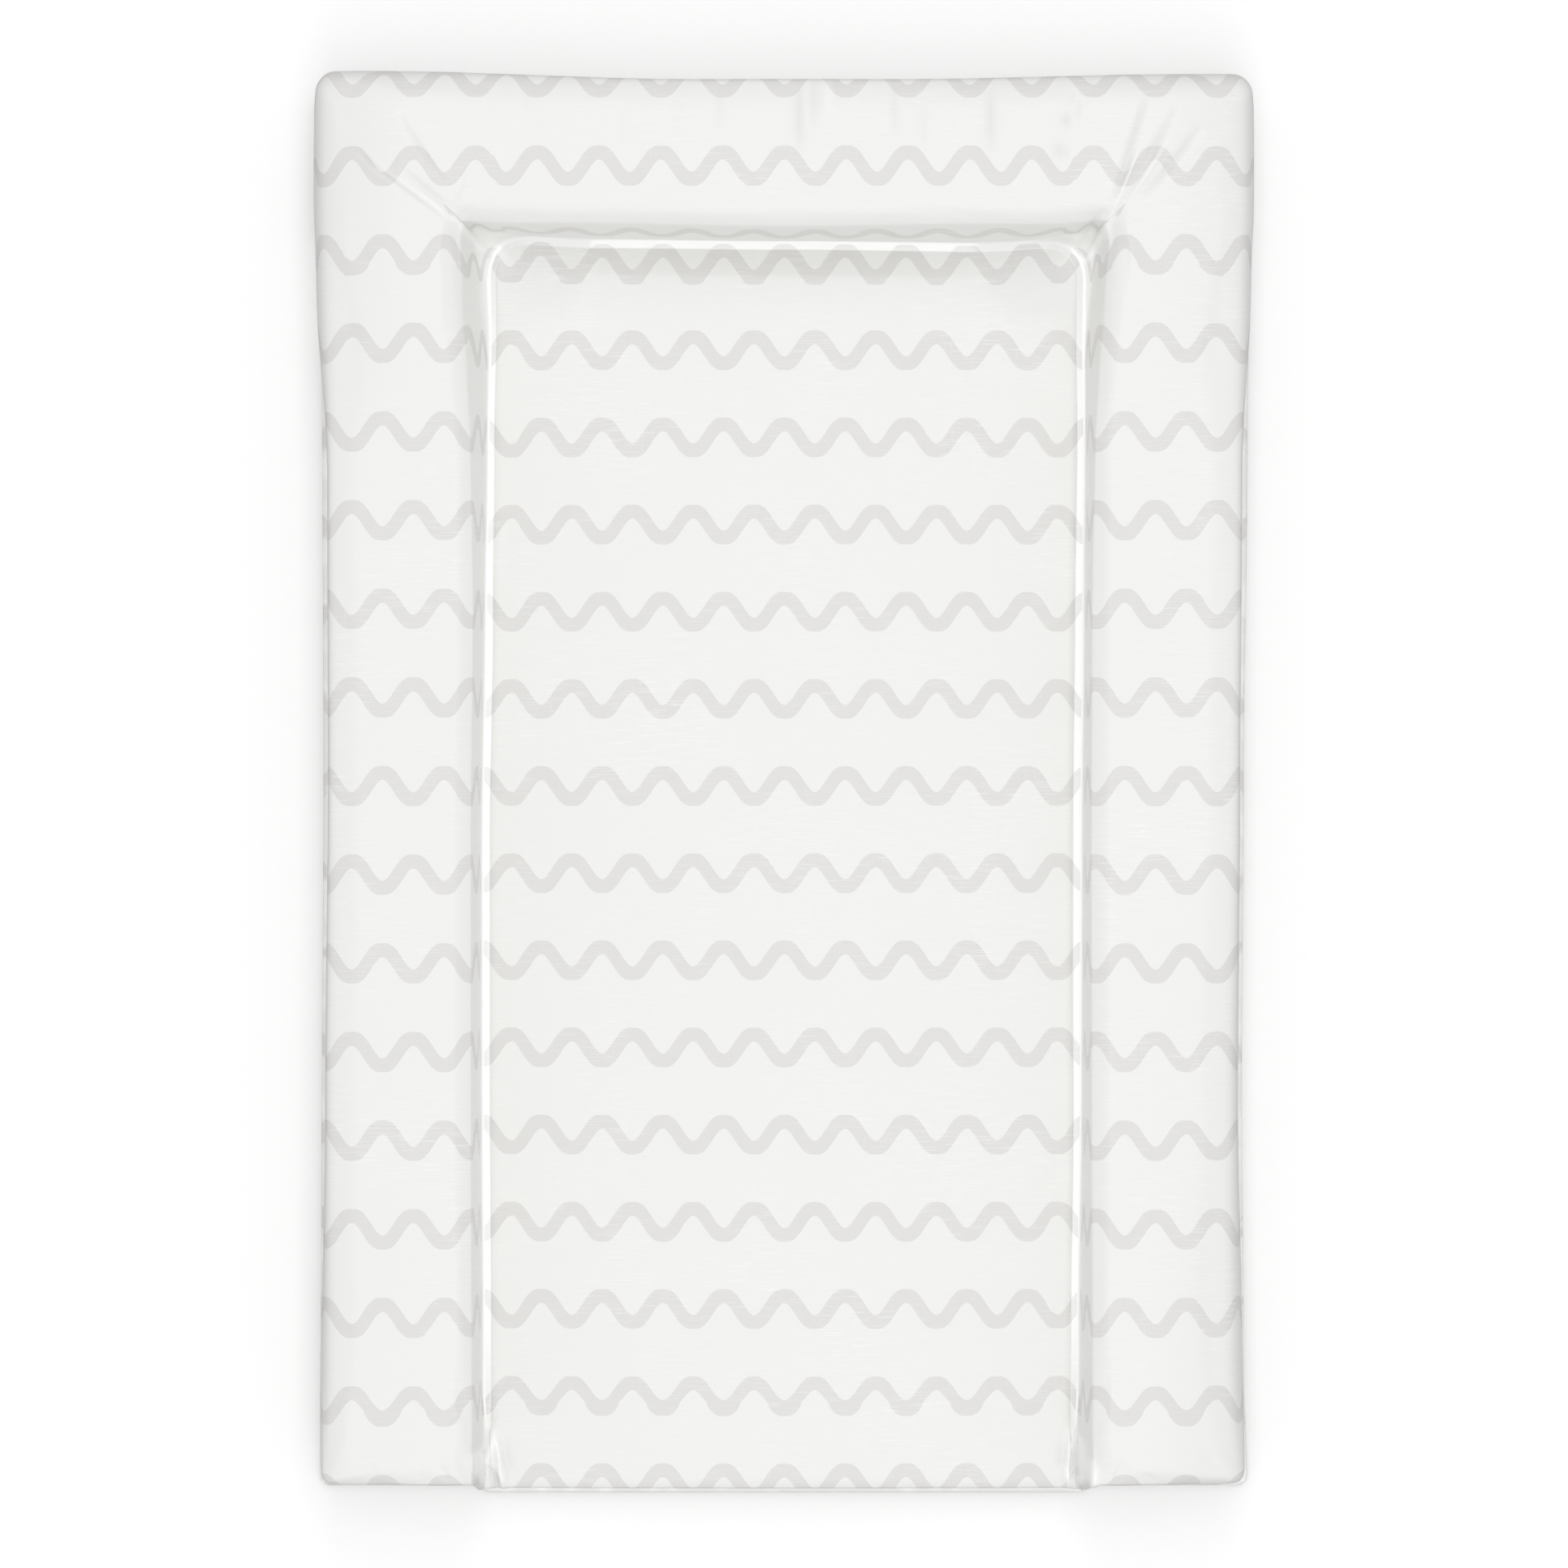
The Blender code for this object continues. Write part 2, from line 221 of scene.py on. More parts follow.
def barHeight(grow, weldTop, corner, hollow):
    # corner is 1 at the two inner corners and 0 away from them
    c = cover
    rimRise = c["rimRise"] + c["cornerRimRise"] * corner
    rimBottom = matHeight - rimRise
    if grow <= c["wallLean"]:
        climb = (grow / c["wallLean"]) ** (1 + hollow * corner)
        return weldTop + (rimBottom - weldTop) * climb
    t = min((grow - c["wallLean"]) / c["rimRun"], 1)
    return rimBottom + rimRise * (1 - (1 - t) ** 2)


def weldHeight(x, y):
    c = cover
    startX, startY = c["liftStart"]
    lift = c["cornerLift"] * eased(abs(x), startX, bandX) * eased(y, startY, bandY)
    return c["bandHeight"] + lift


def droop(x, y):
    return along(y, cover["leftDroop" if x < 0 else "rightDroop"])


def topHeight(x, y):
    c = cover
    growX, growY = abs(x) - bandX, y - bandY
    grow = max(growX, growY)
    if grow > 0:
        startX, startY = c["hollowStart"]
        corner = max(eased(abs(x), startX, bandX), c["headHollowShare"]) * eased(y, startY, bandY)
        fallen = droop(x, y) * between(abs(x), crownX - c["droopRun"], crownX) ** 2
        hollow = c["leftHollow"] + (c["rightHollow"] - c["leftHollow"]) * eased(x, -bandX, bandX)
        return barHeight(grow, weldHeight(x, y) + c["bandTilt"], corner, hollow) - fallen
    if grow > -c["bandWidth"]:
        return weldHeight(x, y) + c["bandTilt"] * (1 + grow / c["bandWidth"])
    # the lying area: a low rounded edge along the sides, a straight ramp at the head, a gentle crown
    t = min((-c["bandWidth"] - growX) / c["padEdgeAtSides"], 1)
    edge = c["padEdgeRise"] * math.sqrt(1 - (1 - t) ** 2)
    ramp = min((-c["bandWidth"] - growY) / c["padEdgeAtHead"], 1)
    return weldHeight(x, y) + (edge + c["padCrown"] * (1 - (x / bandX) ** 2)) * ramp


def cornerRadius(grow):
    # round at the weld, sharp where the walls' tops meet
    if grow <= 0:
        return cover["bandCornerRadius"] + grow
    return cover["bandCornerRadius"] * max(1 - grow / cover["wallLean"], 0) ** cover["cornerSharpening"]


def narrowed(grow, x, y, wider=0):
    # towards the two inner corners the weld is narrower, so its inner edge stands further out
    c = cover
    startX, startY = c["narrowingStart"]
    straight = c["straightNarrowing"]
    nearCorner = straight + (1 - straight) * eased(abs(x), startX, bandX)
    narrow = c["bandNarrowing"] * eased(y, startY, c["narrowingFull"]) * nearCorner
    fade = 1 - eased(-grow, c["bandWidth"], c["bandWidth"] + c["narrowingFade"])
    return (narrow - wider) * between(-grow, 0, c["bandWidth"]) * fade


def driftShare(place, band, crown):
    # whole on the weld and the wall, fading over the pad and over the bar
    overPad = eased(place, band - cover["driftRun"], band - cover["bandWidth"])
    return overPad * (1 - eased(place, band + innerRun, crown))


def drift(x, y):
    # how far the film's grid stands outwards of its straight lines, across and along
    c = cover
    side = "left" if x < 0 else "right"
    climb = between(max(abs(x) - bandX, y - bandY), 0, c["wallLean"])
    weldX, topX = along(y, c[side + "Weld"]), along(y, c[side + "Top"])
    weldY, topY = along(x, c["headWeld"]), along(x, c["headTop"])
    sideShare, headShare = driftShare(abs(x), bandX, crownX), driftShare(y, bandY, crownY)
    wider = c["rightWidening"] * eased(x, 0, bandX) * eased(y, *c["wideningRun"])
    return ((weldX + (topX - weldX) * climb) * sideShare + narrowed(abs(x) - bandX, x, y, wider),
            (weldY + (topY - weldY) * climb) * headShare + narrowed(y - bandY, x, y))


def drawnIn(x, y):
    # how far the outer part follows the drawn-in outline, across and along
    c = cover
    sideInset = along(y, c["leftInset" if x < 0 else "rightInset"]) - c["meanSideInset"]
    headInset = along(x, c["headInset"]) - c["meanHeadInset"]
    return (sideInset * eased(abs(x), bandX + innerRun, crownX),
            headInset * eased(y, bandY + innerRun, crownY))


def roundedCorner(x, y, cornerX, cornerY, radius):
    if radius < nearly:
        return x, y
    onSide = cornerX - x <= cornerY - y
    back = cornerY - y if onSide else cornerX - x
    if back >= radius:
        return x, y
    turn = math.pi / 4 * back / radius
    angle = math.pi / 4 - turn if onSide else math.pi / 4 + turn
    return (cornerX - radius + radius * math.cos(angle),
            cornerY - radius + radius * math.sin(angle))


def placeTop(x, y):
    c = cover
    side = -1 if x < 0 else 1
    grow = max(abs(x) - bandX, y - bandY)
    z = topHeight(x, y)
    across, up = roundedCorner(abs(x), y, bandX + grow, bandY + grow, cornerRadius(grow))
    outX, outY = drift(x, y)
    inX, inY = drawnIn(x, y)
    across += outX - inX
    up += outY - inY
    # the lying area reaches further forward than the bars do
    up -= c["rollForward"] * (1 - barShare(z)) * eased(-y, c["rollStart"], -crownFoot)
    return Vector((side * across, up, z))


def barShare(z):
    # 0 at the lying area's height, 1 at the bars'
    return eased(z, cover["padTop"] + cover["barStart"], matHeight - cover["rimRise"])


def placeRing(x, y, edge, step):
    # a step of the crown and of the outer wall below it
    c = cover
    side = -1 if x < 0 else 1
    steps = c["crownSteps"]
    startZ = topHeight(x, y)
    height = barShare(startZ) if edge == "foot" else 1
    wall = between(step - steps, 0, c["wallSteps"])
    fanX = eased(abs(x), crownX - c["fanOut"], crownX)
    fanHead = eased(y, crownY - c["fanOut"], crownY)
    fanFoot = eased(-y, -crownFoot - c["fanOut"], -crownFoot)
    # the rise changes from the end's to the side's round each outer corner
    endShare = max(fanHead, fanFoot) / 2 if edge == "side" else 1 - fanX / 2
    # along the sides the crown turns right down, at the two ends it stops earlier
    sweep = along(x, c["headSweep"]) / mm if y > 0 else c["footSweep"]
    fullTurn = math.pi / 2 * (1 - (1 - sweep) * endShare)
    turn = fullTurn * min(step / steps, 1)
    runOut = math.sin(turn) / math.sin(fullTurn)
    endRise = c["headCrownRise"] if y > 0 else c["footCrownRise"]
    sideRise = along(y, c["leftCrownRise" if x < 0 else "rightCrownRise"])
    rise = sideRise + (endRise - sideRise) * endShare
    leaning = (1 - endShare) * 2 * droop(x, y) / c["droopRun"]
    endSquareness = c["headSquareness"] if y > 0 else c["footSquareness"]
    squareness = c["crownSquareness"] + (endSquareness - c["crownSquareness"]) * endShare
    z = startZ - rise * (1 - math.cos(turn)) ** squareness
    z -= leaning * c["sideCrownRun"] * math.sin(turn) * math.cos(turn)
    low = hemBottom + c["hemThickness"]
    z += (low - z) * wall
    footRun = c["footRollRun"] + (c["footCrownRun"] - c["footRollRun"]) * height
    footStart = -crownFoot + c["rollForward"] * (1 - height)
    outX = crownX + c["sideCrownRun"] * runOut + c["outerLean"] * wall
    outY = crownY + c["headCrownRun"] * runOut - c["headOverhang"] * wall
    footEnd = halfLength - c["hemWidth"] + c["frontForward"] * (1 - height)
    footOut = footStart + footRun * runOut + (footEnd - footStart - footRun) * wall
    across = abs(x) + (outX - crownX) * fanX if edge != "side" else outX
    up = y
    if edge == "head":
        up = outY
    elif edge == "foot":
        up = -footOut
    else:
        up = y + (outY - crownY) * fanHead - (footOut + crownFoot) * fanFoot
    if y > 0:
        across, up = roundedCorner(across, up, outX, outY, c["headCorner"] * runOut)
    else:
        across, down = roundedCorner(across, -up, outX, footOut, c["footCorner"] * runOut)
        up = -down
    inX, inY = drawnIn(x, y)
    across += drift(x, y)[0] - inX
    up -= inY
    return Vector((side * across, up, z))


def newPiece(name, bm):
    mesh = bpy.data.meshes.new(name)
    bm.to_mesh(mesh)
    bm.free()
    piece = bpy.data.objects.new(name, mesh)
    bpy.context.scene.collection.objects.link(piece)
    return piece


def extrudeRim(bm, rim):
    # one more row of faces: its new vertices and its new open edges
    grown = bmesh.ops.extrude_edge_only(bm, edges=rim)["geom"]
    fresh = [g for g in grown if isinstance(g, bmesh.types.BMVert)]
    freshSet = set(fresh)
    newRim = [g for g in grown if isinstance(g, bmesh.types.BMEdge)
              and g.verts[0] in freshSet and g.verts[1] in freshSet]
    return fresh, newRim


def makeCover():
    linesX, linesY = gridLines()
    countX, countY = len(linesX) - 1, len(linesY) - 1
    bm = bmesh.new()
    acrossLayer = bm.verts.layers.float.new("across")
    alongLayer = bm.verts.layers.float.new("along")
    ringLayer = bm.verts.layers.float.new("ring")
    startLayer = bm.verts.layers.float_vector.new("start")
    creaseLayer = bm.edges.layers.float.new("crease_edge")
    bmesh.ops.create_grid(bm, x_segments=countX, y_segments=countY, size=1)
    for v in bm.verts:
        x = linesX[round((v.co.x + 1) / 2 * countX)]
        y = linesY[round((v.co.y + 1) / 2 * countY)]
        v[acrossLayer], v[alongLayer] = x, y
        v.co = placeTop(x, y)
        v[startLayer] = v.co
    # the weld keeps a crisp edge on both sides
    for e in bm.edges:
        grows = [max(abs(v[acrossLayer]) - bandX, v[alongLayer] - bandY) for v in e.verts]
        onWeldEdge = abs(grows[0]) < nearly or abs(grows[0] + cover["bandWidth"]) < nearly
        if onWeldEdge and abs(grows[0] - grows[1]) < nearly:
            e[creaseLayer] = cover["weldCrease"]
    rim = [e for e in bm.edges if e.is_boundary]
    for step in range(1, lastRing + 1):
        fresh, rim = extrudeRim(bm, rim)
        for v in fresh:
            x, y = v[acrossLayer], v[alongLayer]
            v[ringLayer] = step
            onSide = abs(abs(x) - crownX) < nearly
            edge = "side" if onSide else ("head" if y > 0 else "foot")
            v.co = placeRing(x, y, edge, step)
    bmesh.ops.recalc_face_normals(bm, faces=bm.faces)
    top = max(bm.faces, key=lambda f: f.calc_center_median().z)
    if top.normal.z < 0:
        bmesh.ops.reverse_faces(bm, faces=bm.faces)
    return newPiece("topCover", bm)


def readAttribute(mesh, name, width=1):
    values = np.zeros(len(mesh.vertices) * width)
    mesh.attributes[name].data.foreach_get("value" if width == 1 else "vector", values)
    return values if width == 1 else values.reshape(-1, width)


def readPlaces(mesh):
    places = np.zeros(len(mesh.vertices) * 3)
    mesh.vertices.foreach_get("co", places)
    return places.reshape(-1, 3)


def writePlaces(mesh, places):
    mesh.vertices.foreach_set("co", places.ravel())
    mesh.update()


def finishedMesh(piece):
    depsgraph = bpy.context.evaluated_depsgraph_get()
    return bpy.data.meshes.new_from_object(piece.evaluated_get(depsgraph), preserve_all_data_layers=True,
                                           depsgraph=depsgraph)


# air pressure inside the cover draws the film tight, with the lying area and the margin held.
# the form already fits the mat, so each point's move is kept short
swelling = {
    "frames": 20,
    "pressure": 2.0,
    "mostMove": 0.6 * mm,
    "heldUpTo": 0.5 * mm,
    "quality": 6,
    "mass": 0.3,
    "tension": 30,
    "shear": 15,
    "bending": 1.5,
}


def swellCover(piece):
    s, mesh = swelling, piece.data
    start = readPlaces(mesh)
    across, upwards, ring = (readAttribute(mesh, n) for n in ("across", "along", "ring"))
    grow = np.maximum(np.abs(across) - bandX, upwards - bandY)
    held = piece.vertex_groups.new(name="held")
    fixed = np.where((grow < s["heldUpTo"]) & (ring < 0.5) | (ring > lastRing - 0.5))[0]
    held.add([int(i) for i in fixed], 1.0, "REPLACE")
    cloth = piece.modifiers.new("Cloth", "CLOTH")
    settings = cloth.settings
    settings.quality = s["quality"]
    settings.mass = s["mass"]
    settings.tension_stiffness = settings.compression_stiffness = s["tension"]
    settings.shear_stiffness = s["shear"]
    settings.bending_stiffness = s["bending"]
    settings.use_pressure = True
    settings.uniform_pressure_force = s["pressure"]
    settings.vertex_group_mass = "held"
    settings.effector_weights.gravity = 0
    cloth.point_cache.frame_start, cloth.point_cache.frame_end = 1, s["frames"]
    for step in range(1, s["frames"] + 1):
        bpy.context.scene.frame_set(step)
    swollen = finishedMesh(piece)
    moved = readPlaces(swollen) - start
    bpy.data.meshes.remove(swollen)
    piece.modifiers.remove(cloth)
    piece.vertex_groups.clear()
    bpy.context.scene.frame_set(1)
    far = np.linalg.norm(moved, axis=1, keepdims=True)
    print("swelling: most", round(far.max() / mm, 1), "mm, mean", round(far.mean() / mm, 2), "mm")
    capped = moved * np.minimum(1, s["mostMove"] / np.maximum(far, nearly))
    writePlaces(mesh, start + capped)


def refined(piece):
    # one subdivision, applied, so that the folds have cells fine enough
    modifier = piece.modifiers.new("Subdivision", "SUBSURF")
    modifier.levels = modifier.render_levels = 1
    fine = finishedMesh(piece)
    piece.modifiers.clear()
    old, piece.data = piece.data, fine
    bpy.data.meshes.remove(old)
    fine.name = "topCover"


# the welded margin: share of the way out to the mat's edge, and the height of its puckers
margin = {
    "middle": (0.5, 1.6 * mm),
    "edge": (1, 0.8 * mm),
    "puckerLength": 11 * mm,
    "puckerSeed": 5.1,
    "cornerReach": 12 * mm,
    "cornerPush": 4 * mm,
    "cornerRadius": 5 * mm,
    "overlap": 0.9,
}


def closeCover(piece):
    # the margin out to the mat's edge, its thickness, and a flat face across underneath
    m = margin
    bm = bmesh.new()
    bm.from_mesh(piece.data)
    ringLayer = bm.verts.layers.float["ring"]
    rim = [e for e in bm.edges if e.is_boundary]
    hemTop = hemBottom + cover["hemThickness"]
    for step, (share, puckerHeight) in enumerate((m["middle"], m["edge"]), start=1):
        fresh, rim = extrudeRim(bm, rim)
        for v in fresh:
            v[ringLayer] = lastRing + step
            v.co = hemPlace(v.co, share)
            # the flat margin puckers a little between the bars and the weld
            spot = (v.co.x / m["puckerLength"], v.co.y / m["puckerLength"], m["puckerSeed"])
            v.co.z = hemTop + max(noise.noise(Vector(spot)), 0) * puckerHeight
    fresh, rim = extrudeRim(bm, rim)
    for v in fresh:
        v[ringLayer] = lastRing + 3
        v.co.z = hemBottom
    bmesh.ops.edgeloop_fill(bm, edges=rim)
    bmesh.ops.recalc_face_normals(bm, faces=bm.faces)
    bm.to_mesh(piece.data)
    bm.free()


def hemPlace(co, share):
    c, m = cover, margin
    atSide = abs(co.x) / (halfWidth - c["hemWidth"])
    atEnd = abs(co.y) / (halfLength - c["hemWidth"])
    side = -1 if co.x < 0 else 1
    hemX = halfWidth - along(co.y, c["leftHem" if co.x < 0 else "rightHem"])
    hemY = halfLength - along(co.x, c["headHem" if co.y > 0 else "footHem"])
    nearSide = abs(co.x) > hemX - m["cornerReach"]
    nearEnd = abs(co.y) > hemY - m["cornerReach"]
    goal = co.copy()
    if nearSide or (not nearEnd and atSide > atEnd * m["overlap"]):
        goal.x = side * hemX
    if nearEnd or (not nearSide and atEnd > atSide * m["overlap"]):
        goal.y = math.copysign(hemY, co.y)
    if nearSide and nearEnd:
        x, y = roundedCorner(abs(co.x) + m["cornerPush"], abs(co.y) + m["cornerPush"], hemX, hemY,
                             m["cornerRadius"])
        goal.x, goal.y = side * min(x, hemX), math.copysign(min(y, hemY), co.y)
    return co.lerp(goal, share)


# folds of the film, from and to in mm, then width and height in mm
folds = {
    "leftMitre": [
        ((-210, 307), (-166, 273.5), 1.4, -0.75),
        ((-186.5, 298.5), (-161, 278), 1.4, -0.7),
        ((-202, 302), (-154, 268.5), 2.1, 0.6),
        ((-187, 323), (-165, 290.5), 1.5, -0.6),
        ((-206.6, 305.7), (-198.2, 298.4), 1.6, -0.5),
        ((-163, 276), (-147, 259.5), 2.6, 1.4),
    ],
    "rightMitre": [
        ((176.5, 335), (161, 288), 1.8, -1),
        ((168.5, 305), (160, 283), 1.4, -1),
        ((173, 309), (159.5, 277), 1.3, 0.75),
        ((191, 328), (169, 291), 2, -0.85),
        ((181, 306.5), (161.5, 276), 1.4, -0.75),
        ((203.5, 319.5), (174, 283.5), 2.4, -1),
        ((187, 312), (163, 278), 1.9, 0.6),
        ((160.5, 277), (148.5, 254.5), 2.7, 2.2),
        ((155.5, 278.5), (142, 262), 2.4, -0.5),
        ((142.3, 331.5), (142.8, 320), 1.4, -0.5),
        ((139.3, 313), (134.3, 295.5), 1.6, -0.55),
    ],
    # the film is drawn tight across the head bar
    "headBar": [
        ((-122.5, 308), (-123.5, 340), 2, -0.98), ((-79.3, 306), (-80, 338), 1.8, -0.7),
        ((-52.1, 312), (-51.6, 340), 1.8, -0.7), ((-32.8, 316), (-33, 342), 1.6, -0.84),
        ((6.9, 304), (7.4, 342), 1.8, -0.98), ((13.2, 312), (14.2, 342), 1.4, -0.84),
        ((19.5, 318), (21, 342), 1.8, 0.7), ((53.7, 312), (54, 342), 1.8, -0.7),
        ((68.3, 308), (69, 340), 2, -0.84), ((98.9, 302), (101, 340), 2, -0.98),
        ((131, 298), (141, 336), 1.8, -0.98),
    ],
    # the weld runs out at the foot, where the film bunches up beside it
    "leftFoot": [
        ((-144, -318), (-145.4, -337), 2, 1.5),
        ((-151.5, -325.5), (-145.5, -350.5), 4.2, 1.9),
        ((-142.6, -321.5), (-140, -341), 1.7, 1.2),
        ((-143.6, -338.5), (-141.2, -349.5), 1.4, -1.3),
        ((-140.8, -335.5), (-138.2, -350.5), 2.5, 1.3),
        ((-138, -325), (-136, -346), 2.4, -0.5),
    ],
    "rightFoot": [
        ((141.8, -318.5), (140.6, -338.5), 2, 1.3),
        ((145.6, -320.5), (147.6, -347), 3, 1.7),
        ((143.6, -325.5), (142.8, -341.5), 1.4, -0.8),
        ((149.8, -328), (150.4, -350.5), 3.2, 1.5),
        ((138.6, -336), (141.6, -350), 2.8, 1.3),
        ((144.6, -339), (144.2, -351.5), 2.2, 1.3),
        ((136.8, -326), (137.2, -341), 2.4, -0.5),
    ],
}
# a fold's section: a ridge between two shallow dips
foldShape = {"fade": 0.7, "dip": 0.25, "dipWidth": 2.4, "crestSharpness": 1.3}


def foldFilm(piece):
    mesh, f = piece.data, foldShape
    places = readPlaces(mesh)
    ring = readAttribute(mesh, "ring")
    normals = np.zeros(len(places) * 3)
    mesh.vertex_normals.foreach_get("vector", normals)
    normals = normals.reshape(-1, 3)
    lift = np.zeros(len(places))
    crest = np.zeros(len(places))
    for group in folds.values():
        for start, end, width, height in group:
            a, b = np.array(start) * mm, np.array(end) * mm
            run = b - a
            t = (places[:, :2] - a) @ run / (run @ run)
            off = (places[:, 0] - a[0]) * run[1] - (places[:, 1] - a[1]) * run[0]
            off = off / np.linalg.norm(run) / (width * mm)
            fade = np.sin(np.pi * np.clip(t, 0, 1)) ** f["fade"]
            dip = f["dip"] * np.exp(-(off / f["dipWidth"]) ** 2)
            ridge = height * fade * ((1 + f["dip"]) * np.exp(-off ** 2) - dip)
            lift += ridge * mm
            crest += np.clip(ridge * np.exp(-(off * f["crestSharpness"]) ** 2), -1, 1)
    # the wall's lowest ring stays where the margin joins it
    lift[ring > lastRing - 0.5] = 0
    writePlaces(mesh, places + normals * lift[:, None])
    # crest marks the folds' ridges and creases, for a painted highlight on the ridges and painted shade in
    # the creases
    layer = mesh.attributes.new("crest", "FLOAT", "POINT")
    layer.data.foreach_set("value", np.clip(crest, -1, 1))


# small uneven lumps between the folds at the weld's two ends
crumple = {
    "reach": 44 * mm,
    "halfWidth": 11 * mm,
    "ridgeGap": 4.6 * mm,
    "ridgeLength": 4.5,  # times the gap
    "lumpWidth": 9 * mm,
    "lumpLength": 13 * mm,
    "lift": 1.7 * mm,
    "ridgeShare": 0.75,
    "lumpShare": 0.6,
    "rise": 0.35,
    "fadeStart": 0.35,
    "leftSeed": 11.3,
    "rightSeed": 57.1,
}


def crumpleWeldEnds(piece):
    c, mesh = crumple, piece.data
    places = readPlaces(mesh)
    ring = readAttribute(mesh, "ring")
    centre = bandX - cover["bandWidth"] / 2
    for n in range(len(places)):
        x, y = places[n][:2]
        off = abs(abs(x) - centre) / c["halfWidth"]
        up = (y + halfLength) / c["reach"]
        if off >= 1 or up >= 1 or ring[n] > lastRing - 0.5:
            continue
        mask = (1 - off ** 2) ** 2 * (1 - eased(up, c["fadeStart"], 1))
        seed = c["leftSeed" if x < 0 else "rightSeed"]
        ridge = noise.noise(Vector((x / c["ridgeGap"], y / (c["ridgeGap"] * c["ridgeLength"]), seed)))
        lump = noise.noise(Vector((x / c["lumpWidth"], y / c["lumpLength"], seed + 4)))
        places[n][2] += mask * c["lift"] * (c["ridgeShare"] * ridge + c["lumpShare"] * lump + c["rise"])
    writePlaces(mesh, places)


def filmDistance(grow):
    # how far the film has run up the wall and over the rim, measured along the film
    c = cover
    rimBottom = matHeight - c["rimRise"]
    wall = np.clip(grow / c["wallLean"], 0, 1) * math.hypot(c["wallLean"], rimBottom - c["bandHeight"])
    t = np.clip((grow - c["wallLean"]) / c["rimRun"], 0, 1)
    return wall + c["rimRun"] * t + 2 / 3 * c["rimRise"] ** 2 / c["rimRun"] * (1 - (1 - t) ** 3)


pattern = {
    "waveLength": 30 * mm,
    "rowGap": 43 * mm,
    "firstRow": -2 * mm,
    "waveHeight": 6.4 * mm,
    "lineWidth": 6.8 * mm,
    # over this drop the map follows the crown's slope, and below it the upright wall
    "crownDrop": 8 * mm,
}


def mapFilm(piece):
    # the film's own map in metres, so that the print bends with the film.
    # the extra film on the wall is one and a half waves or one row, which lets the print meet on the mitre.
    # ring is 0 on the top and counts outwards from its edge
    mesh, p = piece.data, pattern
    across, upwards = readAttribute(mesh, "across"), readAttribute(mesh, "along")
    start, places = readAttribute(mesh, "start", 3), readPlaces(mesh)
    growX, growY = np.abs(across) - bandX, upwards - bandY
    grow = np.maximum(growX, growY)
    climbed = filmDistance(grow) / filmDistance(np.array([innerRun]))[0]
    spare = np.array([1.5 * p["waveLength"], p["rowGap"]])
    extra = climbed[:, None] * (innerRun + spare) - np.clip(grow, 0, innerRun)[:, None]
    # over the crown and down the outer wall the map runs on in the direction that the film takes
    out = places[:, :2] - start[:, :2]
    run = np.linalg.norm(out, axis=1)
    down = np.clip(start[:, 2] - places[:, 2], 0, None)
    onOuter = readAttribute(mesh, "ring") > 0.01
    ranOn = np.hypot(run, np.minimum(down, p["crownDrop"])) + np.clip(down - p["crownDrop"], 0, None)
    leastRun = 0.001 * mm
    onward = out / np.maximum(run, leastRun)[:, None] * (ranOn * onOuter)[:, None]
    loopVertex = np.zeros(len(mesh.loops), int)
    mesh.loops.foreach_get("vertex_index", loopVertex)
    loopTotals = np.zeros(len(mesh.polygons), int)
    mesh.polygons.foreach_get("loop_total", loopTotals)
    loopFace = np.repeat(np.arange(len(loopTotals)), loopTotals)
    # round the corners the wall's spare film goes over from along the head to across the sides
    lead = (growY - growX)[loopVertex]
    onHead = (np.bincount(loopFace, lead) > 0)[loopFace]
    beyond = (np.bincount(loopFace, grow[loopVertex] < innerRun - nearly) == 0)[loopFace]
    soft = cover["bandCornerRadius"] * (1 - np.clip(grow / innerRun, 0, 1))[loopVertex] + nearly
    lead = np.where(onHead, lead + 2 * nearly, lead - 2 * nearly)
    turn = np.where(beyond, onHead * 1.0, np.clip(0.5 + lead / (2 * soft), 0, 1)) * math.pi / 2
    spots = (start[:, :2] + onward)[loopVertex]
    spots[:, 1] -= p["firstRow"]
    spots[:, 0] += np.sign(across[loopVertex]) * extra[loopVertex, 0] * np.cos(turn)
    spots[:, 1] += extra[loopVertex, 1] * np.sin(turn)
    layer = mesh.uv_layers.new(name="film")
    layer.data.foreach_set("uv", spots.ravel())


# where the weld shows its painted highlight: a start and a run, from the corners and towards the foot
weldLook = {
    "cornerAcross": (1.3, 17 * mm),
    "cornerAlong": (1.25, 90 * mm),
    "footStart": 250 * mm,
    "footRun": 55 * mm,
    "footMost": 0.9,
    "narrowStart": 302 * mm,
    "narrowRun": 22 * mm,
    "narrowing": 8,
    "end": 326 * mm,
    "offWeld": 9,
}


def markWelds(piece):
    # weldPlace runs from -1 to 1 across the band, weldCorner is 1 in its two corners,
    # and hem is 1 on the flat margin; they place the painted highlight
    mesh, w = piece.data, weldLook
    across, upwards, ring = (readAttribute(mesh, n) for n in ("across", "along", "ring"))
    growX, growY = np.abs(across) - bandX, upwards - bandY
    place = np.maximum(growX, growY) / (cover["bandWidth"] / 2) + 1
    # the corners' look, where the painted highlight keeps to the weld's edges, fades soon along the head and
    # slowly along the sides
    (shareX, runX), (shareY, runY) = w["cornerAcross"], w["cornerAlong"]
    corner = np.clip(shareX + growX / runX, 0, 1) * np.clip(shareY + growY / runY, 0, 1)
    corner = np.maximum(corner, np.clip((-upwards - w["footStart"]) / w["footRun"], 0, w["footMost"]))
    hem = ring > lastRing + 0.5
    # the weld narrows to nothing before the foot
    place *= 1 + w["narrowing"] * np.clip((-upwards - w["narrowStart"]) / w["narrowRun"], 0, 1) ** 2
    place[(ring > 0.01) | (upwards < -w["end"])] = w["offWeld"]
    for name, values in (("weldPlace", place), ("weldCorner", corner), ("hem", hem)):
        mesh.attributes.new(name, "FLOAT", "POINT").data.foreach_set("value", values.astype(float))


